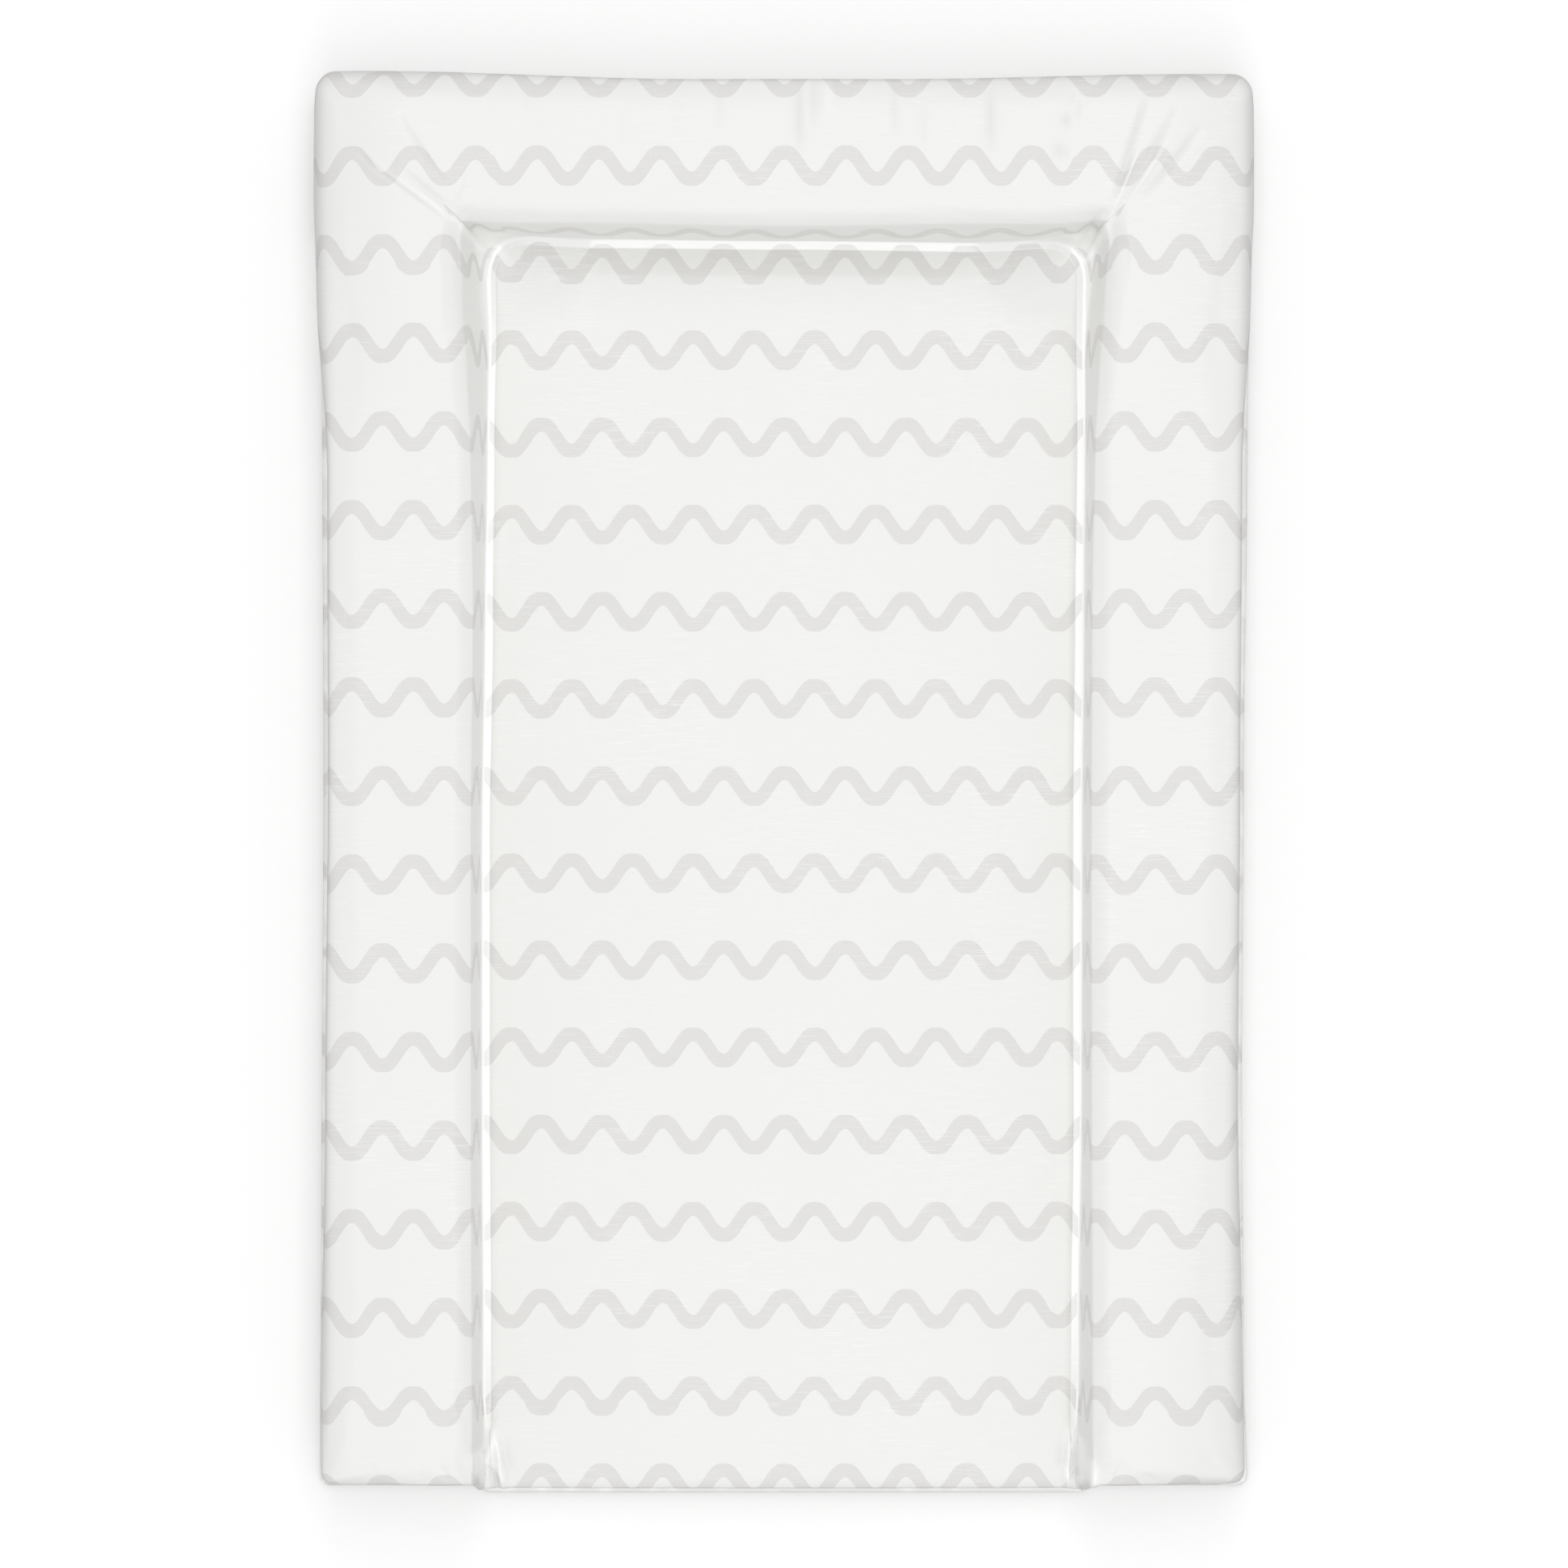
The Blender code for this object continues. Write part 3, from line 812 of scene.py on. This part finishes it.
print("cover: film shape")
topCover = makeCover()
print("cover: swelling the film")
swellCover(topCover)
refined(topCover)
print("cover: folds, weld ends and hem")
foldFilm(topCover)
crumpleWeldEnds(topCover)
closeCover(topCover)
mapFilm(topCover)
markWelds(topCover)
# all smooth but for the film's cut edge and the underside
rings = readAttribute(topCover.data, "ring")
for polygon in topCover.data.polygons:
    polygon.use_smooth = bool(max(rings[v] for v in polygon.vertices) < lastRing + 2.5)
print("cover faces", len(topCover.data.polygons))

baseFilm = {
    "cells": (58, 88),
    "rimInset": 6 * mm,
    "ventRadius": 2 * mm,
    "ventSides": 32,
    "ventSpacing": 200 * mm,
    "cutterDepth": 10 * mm,
    "liftAtHem": 0.35 * mm,
    "ripples": (26, 19),  # to the metre, across and along
    "rippleSeed": 3.7,
    # its finish, with scales in cells to the metre
    "darkTone": "EFEFED",
    "paleTone": "F4F4F2",
    "roughness": 0.45,
    "cloudScale": 9.0,  # 111 mm a cell
    "grainScale": 900.0,  # 1.1 mm
    "cellScale": 700.0,  # 1.4 mm
    "grainStrength": 0.4,
    "grainDepth": 0.08 * mm,
}


def makeBaseFilm():
    b = baseFilm
    bm = bmesh.new()
    bmesh.ops.create_grid(bm, x_segments=b["cells"][0], y_segments=b["cells"][1], size=1)
    for v in bm.verts:
        v.co.x *= halfWidth - b["rimInset"]
        v.co.y *= halfLength - b["rimInset"]
    rim = [e for e in bm.edges if e.is_boundary]
    for v in extrudeRim(bm, rim)[0]:
        v.co = hemPlace(v.co, 1)
    # the film lies on the floor and ripples a little between the welds
    for v in bm.verts:
        ripple = noise.noise(Vector((v.co.x * b["ripples"][0], v.co.y * b["ripples"][1], b["rippleSeed"])))
        v.co.z = max(0, ripple) * b["liftAtHem"]
    bmesh.ops.recalc_face_normals(bm, faces=bm.faces)
    if sum(f.normal.z for f in bm.faces) > 0:
        bmesh.ops.reverse_faces(bm, faces=bm.faces)
    bmesh.ops.solidify(bm, geom=bm.faces[:], thickness=sheetHigh.z - sheetLow.z)
    piece = newPiece("baseFilm", bm)
    cutVents(piece)
    return piece


def cutVents(piece):
    b = baseFilm
    bm = bmesh.new()
    apart = b["ventSpacing"] / 2
    for x, y in ((-1, -1), (1, -1), (-1, 1), (1, 1)):
        made = bmesh.ops.create_cone(bm, cap_ends=True, segments=b["ventSides"], radius1=b["ventRadius"],
                                     radius2=b["ventRadius"], depth=b["cutterDepth"])["verts"]
        bmesh.ops.translate(bm, verts=made, vec=(x * apart, y * apart, 0))
    cutter = newPiece("ventCutter", bm)
    cut = piece.modifiers.new("Boolean", "BOOLEAN")
    cut.operation, cut.solver, cut.object = "DIFFERENCE", "EXACT", cutter
    holed = finishedMesh(piece)
    piece.modifiers.clear()
    piece.data = holed
    bpy.data.objects.remove(cutter)


print("base film: sheet with four vents")
baseSheet = makeBaseFilm()
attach(topCover, "root")
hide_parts("top_cover", "centre_wadding", "left_bar_foam", "right_bar_foam",
            "head_bar_foam", "base_foam", "liner_sheet")
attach(baseSheet, "root")
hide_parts("base_sheet")

# camera straight above the mat's lying area, at the usual distance for such a picture
view = {"sensor": 36, "lens": 128, "place": (-0.2 * mm, -1 * mm), "distance": 2.75, "clipEnd": 50}
camera = bpy.data.objects.new("camera", bpy.data.cameras.new("camera"))
bpy.context.scene.collection.objects.link(camera)
camera.data.sensor_width = view["sensor"]
camera.data.lens = view["lens"]
camera.location = (*view["place"], view["distance"] + cover["padTop"])
camera.data.clip_end = view["clipEnd"]
bpy.context.scene.camera = camera


def linear(hexColour):
    parts = [int(hexColour[k:k + 2], 16) / 255 for k in (0, 2, 4)]
    return tuple(p / 12.92 if p <= 0.04045 else ((p + 0.055) / 1.055) ** 2.4 for p in parts) + (1,)


# sockets by number: the Mix node's colours are inputs 6 and 7 and its colour output is 2,
# Texture Coordinate's Object output is 3, and the Attribute node's plain value is output 2
def addNode(tree, kind, inputs=None, output=0, **settings):
    node = tree.nodes.new(kind)
    for name, value in settings.items():
        setattr(node, name, value)
    for name, value in (inputs or {}).items():
        if isinstance(value, bpy.types.NodeSocket):
            tree.links.new(value, node.inputs[name])
        else:
            node.inputs[name].default_value = value
    return node.outputs[output] if len(node.outputs) else node


def newMaterial(name):
    material = bpy.data.materials.new(name)
    material.use_nodes = True
    material.node_tree.nodes.clear()
    return material, material.node_tree


# scales are in cells to the metre, and a fade runs from one value of its noise or attribute to another
film = {
    "ground": "F2F2F0",
    "ink": "E2E1DF",
    # painted highlight colours for the weld, the ink on it and the margin, and a painted shade colour for
    # creases
    "weldHighlightTone": "FFFFFE",
    "inkUnderWeldHighlight": "EBEBEA",
    "creaseShadeTone": "DCDCDA",
    "slub": "FFFFFF",
    "slubShare": 0.42,
    "slubLength": 15 * mm,
    "slubThickness": 0.6 * mm,
    "acrossSlubFade": (0.56, 0.66),
    "upSlubFade": (0.64, 0.74),
    "upSlubMost": 0.6,
    "patchScale": 14.0,  # 71 mm a cell
    "patchFade": (0.42, 0.66),
    "patchLeast": 0.15,
    "inkWander": 0.35 * mm,
    "inkWanderScale": 900.0,  # 1.1 mm
    "inkSpread": 0.17 * mm,
    "inkBlur": 0.12 * mm,
    # where the painted highlight falls on the weld and its edges, the margin's painted glints, the painted
    # highlight on fold ridges and the painted shade in creases
    "bandFade": (1.1, 1.0),
    "outerEdgeFade": (0.3, 0.5),
    "innerEdgeFade": (-0.7, -0.85),
    "innerEdgeMost": 0.35,
    "cornerDulling": 0.88,
    "hemHighlightShare": 0.35,
    "glintScale": 85.0,  # 12 mm
    "glintFade": (0.52, 0.64),
    "crestShine": 0.7,
    "creaseShade": 0.5,
    "roughness": 0.40,
    "weldRoughness": 0.10,
    "mirror": 0.5,
    "weldMirror": 0.8,
    "ior": 1.53,
    "grainScale": 2600.0,  # 0.38 mm
    "grainDepth": 0.05 * mm,
    "grainStrength": 0.25,
    "slubRelief": 0.5,
}


def printedFilm():
    # calendered PVC film with a linen-look print: soft sheen, pale grey wavy lines, fine pale slubs; painted
    # highlight on the weld, the margin and the fold ridges, and painted shade in the creases
    material, tree = newMaterial("printedPvcFilm")
    p, f = pattern, film
    uv = addNode(tree, "ShaderNodeUVMap", uv_map="film")
    u, v = (addNode(tree, "ShaderNodeSeparateXYZ", {0: uv}, output=k) for k in (0, 1))
    # rows of a cosine, each half a wave on from the last
    rowPlace = addNode(tree, "ShaderNodeMath", {0: v, 1: 1 / p["rowGap"], 2: 0.5}, operation="MULTIPLY_ADD")
    row = addNode(tree, "ShaderNodeMath", {0: rowPlace}, operation="FLOOR")
    fromRow = addNode(tree, "ShaderNodeMath", {0: row, 1: -p["rowGap"], 2: v}, operation="MULTIPLY_ADD")
    halfTurns = addNode(tree, "ShaderNodeMath", {0: row, 1: math.pi}, operation="MULTIPLY")
    turnRate = 2 * math.pi / p["waveLength"]
    phase = addNode(tree, "ShaderNodeMath", {0: u, 1: turnRate, 2: halfTurns}, operation="MULTIPLY_ADD")
    swing = addNode(tree, "ShaderNodeMath", {0: phase}, operation="COSINE")
    offset = addNode(tree, "ShaderNodeMath", {0: swing, 1: -p["waveHeight"], 2: fromRow},
                     operation="MULTIPLY_ADD")
    # divided by the line's slope, so that it is as thick on its flanks as on its crests
    lean = addNode(tree, "ShaderNodeMath", {0: phase}, operation="SINE")
    slope = addNode(tree, "ShaderNodeMath", {0: lean, 1: p["waveHeight"] * turnRate}, operation="MULTIPLY")
    squared = addNode(tree, "ShaderNodeMath", {0: slope, 1: slope, 2: 1.0}, operation="MULTIPLY_ADD")
    stretch = addNode(tree, "ShaderNodeMath", {0: squared}, operation="SQRT")
    away = addNode(tree, "ShaderNodeMath", {0: offset}, operation="ABSOLUTE")
    away = addNode(tree, "ShaderNodeMath", {0: away, 1: stretch}, operation="DIVIDE")
    # screen printing leaves a slightly uneven edge
    wander = addNode(tree, "ShaderNodeTexNoise", {"Vector": uv, "Scale": f["inkWanderScale"], "Detail": 2.0})
    away = addNode(tree, "ShaderNodeMath", {0: wander, 1: f["inkWander"], 2: away}, operation="MULTIPLY_ADD")
    half = p["lineWidth"] / 2 + f["inkSpread"]
    ink = addNode(tree, "ShaderNodeMapRange", {
        "Value": away, "From Min": half + f["inkBlur"], "From Max": half - f["inkBlur"]})
    # slubs of the linen print, mostly across the mat and a few along it
    slubs = []
    for sizeX, sizeY, fade, most in (
            (f["slubLength"], f["slubThickness"], f["acrossSlubFade"], 1.0),
            (f["slubThickness"], f["slubLength"], f["upSlubFade"], f["upSlubMost"])):
        drawnOut = addNode(tree, "ShaderNodeVectorMath", {0: uv, 1: (1 / sizeX, 1 / sizeY, 1)},
                           operation="MULTIPLY")
        slub = addNode(tree, "ShaderNodeTexNoise", {"Vector": drawnOut, "Scale": 1.0, "Detail": 1.0})
        slubs.append(addNode(tree, "ShaderNodeMapRange", {
            "Value": slub, "From Min": fade[0], "From Max": fade[1], "To Max": most}))
    streak = addNode(tree, "ShaderNodeMath", {0: slubs[0], 1: slubs[1]}, operation="MAXIMUM")
    patch = addNode(tree, "ShaderNodeTexNoise", {"Vector": uv, "Scale": f["patchScale"], "Detail": 2.0})
    patch = addNode(tree, "ShaderNodeMapRange", {
        "Value": patch, "From Min": f["patchFade"][0], "From Max": f["patchFade"][1],
        "To Min": f["patchLeast"], "To Max": 1.0})
    streak = addNode(tree, "ShaderNodeMath", {0: streak, 1: patch}, operation="MULTIPLY")
    # painted highlight over the weld band, which also has a real gloss; round its corners only its two edges
    # keep the painted highlight
    place, corner, hem, crest = (addNode(tree, "ShaderNodeAttribute", output=2, attribute_name=name)
                                 for name in ("weldPlace", "weldCorner", "hem", "crest"))
    # painted highlight lines along the weld's edges, stronger on the outer edge than on the inner
    outer = addNode(tree, "ShaderNodeMapRange", {
        "Value": place, "From Min": f["outerEdgeFade"][0], "From Max": f["outerEdgeFade"][1]})
    inner = addNode(tree, "ShaderNodeMapRange", {
        "Value": place, "From Min": f["innerEdgeFade"][0], "From Max": f["innerEdgeFade"][1],
        "To Max": f["innerEdgeMost"]})
    edges = addNode(tree, "ShaderNodeMath", {0: outer, 1: inner}, operation="MAXIMUM")
    place = addNode(tree, "ShaderNodeMath", {0: place}, operation="ABSOLUTE")
    band = addNode(tree, "ShaderNodeMapRange", {
        "Value": place, "From Min": f["bandFade"][0], "From Max": f["bandFade"][1]})
    edges = addNode(tree, "ShaderNodeMath", {0: edges, 1: band}, operation="MULTIPLY")
    # small painted highlight spots on the flat margin, standing for glints on its puckers
    spot = addNode(tree, "ShaderNodeTexCoord", output=3)
    puckerGlint = addNode(tree, "ShaderNodeTexNoise", {"Vector": spot, "Scale": f["glintScale"], "Detail": 1.0})
    puckerGlint = addNode(tree, "ShaderNodeMapRange", {
        "Value": puckerGlint, "From Min": f["glintFade"][0], "From Max": f["glintFade"][1]})
    puckerGlint = addNode(tree, "ShaderNodeMath", {0: puckerGlint, 1: hem}, operation="MULTIPLY")
    # painted highlight across the band's middle, dulled round its corners and towards the foot
    middle = addNode(tree, "ShaderNodeMath", {0: corner, 1: -f["cornerDulling"], 2: 1.0},
                     operation="MULTIPLY_ADD")
    middle = addNode(tree, "ShaderNodeMath", {0: band, 1: middle}, operation="MULTIPLY")
    # painted highlight on the weld and, weaker, on the margin; the same share sets their real gloss further
    # down
    pressedGlossAndHighlight = addNode(tree, "ShaderNodeMath", {0: hem, 1: f["hemHighlightShare"], 2: middle}, operation="MULTIPLY_ADD")
    ground, inked = (addNode(tree, "ShaderNodeMix", {0: pressedGlossAndHighlight, 6: linear(f[plain]), 7: linear(f[highlighted])},
                             output=2, data_type="RGBA")
                     for plain, highlighted in (("ground", "weldHighlightTone"), ("ink", "inkUnderWeldHighlight")))
    tone = addNode(tree, "ShaderNodeMix", {0: ink, 6: ground, 7: inked}, output=2, data_type="RGBA")
    slubShare = addNode(tree, "ShaderNodeMath", {0: streak, 1: f["slubShare"]}, operation="MULTIPLY")
    # painted highlight on fold ridges, together with the weld's edge lines and the margin's glints
    paintedHighlight = addNode(tree, "ShaderNodeMath", {0: crest, 1: f["crestShine"]}, operation="MULTIPLY",
                    use_clamp=True)
    paintedHighlight = addNode(tree, "ShaderNodeMath", {0: edges, 1: paintedHighlight}, operation="ADD", use_clamp=True)
    paintedHighlight = addNode(tree, "ShaderNodeMath", {0: puckerGlint, 1: paintedHighlight}, operation="MAXIMUM")
    # painted shade in the folds' creases
    paintedShade = addNode(tree, "ShaderNodeMath", {0: crest, 1: -f["creaseShade"]}, operation="MULTIPLY",
                    use_clamp=True)
    # print slubs, then the painted highlight and the painted shade, over the colour
    for share, colour in ((slubShare, "slub"), (paintedHighlight, "weldHighlightTone"), (paintedShade, "creaseShadeTone")):
        tone = addNode(tree, "ShaderNodeMix", {0: share, 6: tone, 7: linear(f[colour])},
                       output=2, data_type="RGBA")
    gloss = addNode(tree, "ShaderNodeMath", {0: pressedGlossAndHighlight, 1: paintedHighlight}, operation="MAXIMUM")
    roughness = addNode(tree, "ShaderNodeMapRange", {
        "Value": gloss, "To Min": f["roughness"], "To Max": f["weldRoughness"]})
    mirror = addNode(tree, "ShaderNodeMapRange", {
        "Value": gloss, "To Min": f["mirror"], "To Max": f["weldMirror"]})
    grain = addNode(tree, "ShaderNodeTexNoise", {"Vector": uv, "Scale": f["grainScale"], "Detail": 2.0})
    relief = addNode(tree, "ShaderNodeMath", {0: streak, 1: f["slubRelief"], 2: grain},
                     operation="MULTIPLY_ADD")
    bump = addNode(tree, "ShaderNodeBump", {
        "Height": relief, "Strength": f["grainStrength"], "Distance": f["grainDepth"]})
    surface = addNode(tree, "ShaderNodeBsdfPrincipled", {
        "Base Color": tone, "Roughness": roughness, "Normal": bump, "IOR": f["ior"],
        "Specular IOR Level": mirror})
    addNode(tree, "ShaderNodeOutputMaterial", {"Surface": surface})
    return material


def plainFilm():
    # plain calendered PVC film with a fine haircell grain: quiet sheen
    material, tree = newMaterial("grainedPvcFilm")
    b = baseFilm
    place = addNode(tree, "ShaderNodeTexCoord", output=3)
    grain = addNode(tree, "ShaderNodeTexNoise", {"Vector": place, "Scale": b["grainScale"], "Detail": 3.0})
    cells = addNode(tree, "ShaderNodeTexVoronoi", {"Vector": place, "Scale": b["cellScale"]})
    cloud = addNode(tree, "ShaderNodeTexNoise", {"Vector": place, "Scale": b["cloudScale"], "Detail": 3.0})
    tone = addNode(tree, "ShaderNodeMix", {0: cloud, 6: linear(b["darkTone"]), 7: linear(b["paleTone"])},
                   output=2, data_type="RGBA")
    relief = addNode(tree, "ShaderNodeMath", {0: grain, 1: cells}, operation="ADD")
    bump = addNode(tree, "ShaderNodeBump", {
        "Height": relief, "Strength": b["grainStrength"], "Distance": b["grainDepth"]})
    surface = addNode(tree, "ShaderNodeBsdfPrincipled", {
        "Base Color": tone, "Roughness": b["roughness"], "Normal": bump})
    addNode(tree, "ShaderNodeOutputMaterial", {"Surface": surface})
    return material


topCover.data.materials.append(printedFilm())
baseSheet.data.materials.append(plainFilm())

# a pale room with one large soft lamp overhead
studio = {
    "floorHalf": 6,
    "floorDrop": 0.3 * mm,
    "floorTone": "FFFFFF",
    "bounceTone": "BCBCBC",
    "floorGlow": 0.08,
    "skyStrength": 0.69,
    "horizonShare": 0.7,
    "horizonTop": math.sin(math.radians(11)),
    "lampPower": 52,
    "lampSize": (1.4, 7.4),
    "lampPlace": (0.12, 0.05, 3.4),
}


def seenByCamera(tree):
    # 1 for what the camera sees, straight, in a reflection or through a clear piece
    direct, glossy, through = (addNode(tree, "ShaderNodeLightPath", output=k) for k in (0, 3, 6))
    seen = addNode(tree, "ShaderNodeMath", {0: direct, 1: glossy}, operation="MAXIMUM")
    return addNode(tree, "ShaderNodeMath", {0: seen, 1: through}, operation="MAXIMUM")


def floorMaterial():
    # matt and white to the camera; it throws back less light on the mat's outer sides than a white one would
    material, tree = newMaterial("paleFloor")
    s = studio
    direct = addNode(tree, "ShaderNodeLightPath")
    tone = addNode(tree, "ShaderNodeMix", {0: direct, 6: linear(s["bounceTone"]), 7: linear(s["floorTone"])},
                   output=2, data_type="RGBA")
    matt = addNode(tree, "ShaderNodeBsdfDiffuse", {"Color": tone})
    strength = addNode(tree, "ShaderNodeMath", {0: seenByCamera(tree), 1: s["floorGlow"]},
                       operation="MULTIPLY")
    glow = addNode(tree, "ShaderNodeEmission", {"Strength": strength})
    both = addNode(tree, "ShaderNodeAddShader", {0: matt, 1: glow})
    addNode(tree, "ShaderNodeOutputMaterial", {"Surface": both})
    return material


print("studio: floor, lamp, world")
floorGrid = bmesh.new()
bmesh.ops.create_grid(floorGrid, x_segments=1, y_segments=1, size=studio["floorHalf"])
floor = newPiece("floor", floorGrid)
floor.location.z = -studio["floorDrop"]
floor.data.materials.append(floorMaterial())

lamp = bpy.data.lights.new("softbox", "AREA")
lamp.shape, lamp.energy = "RECTANGLE", studio["lampPower"]
lamp.size, lamp.size_y = studio["lampSize"]
softbox = bpy.data.objects.new("softbox", lamp)
softbox.location = studio["lampPlace"]
bpy.context.scene.collection.objects.link(softbox)

world = bpy.data.worlds.new("studio")
bpy.context.scene.world = world
world.use_nodes = True
tree = world.node_tree
tree.nodes.clear()
# white where the camera looks at it, and dimmer as a light
skyStrength = addNode(tree, "ShaderNodeMapRange", {
    "Value": seenByCamera(tree), "To Min": studio["skyStrength"], "To Max": 1.0})
# the room is darker low down, but not where the camera looks straight at it
direction = addNode(tree, "ShaderNodeTexCoord")
height = addNode(tree, "ShaderNodeSeparateXYZ", {0: direction}, output=2)
lowLight = addNode(tree, "ShaderNodeMapRange", {
    "Value": height, "From Max": studio["horizonTop"], "To Min": studio["horizonShare"], "To Max": 1.0})
direct = addNode(tree, "ShaderNodeLightPath")
lowLight = addNode(tree, "ShaderNodeMath", {0: lowLight, 1: direct}, operation="MAXIMUM")
skyStrength = addNode(tree, "ShaderNodeMath", {0: skyStrength, 1: lowLight}, operation="MULTIPLY")
sky = addNode(tree, "ShaderNodeBackground", {"Color": (1, 1, 1, 1), "Strength": skyStrength})
addNode(tree, "ShaderNodeOutputWorld", {"Surface": sky})

bpy.context.scene.view_settings.view_transform = "Standard"
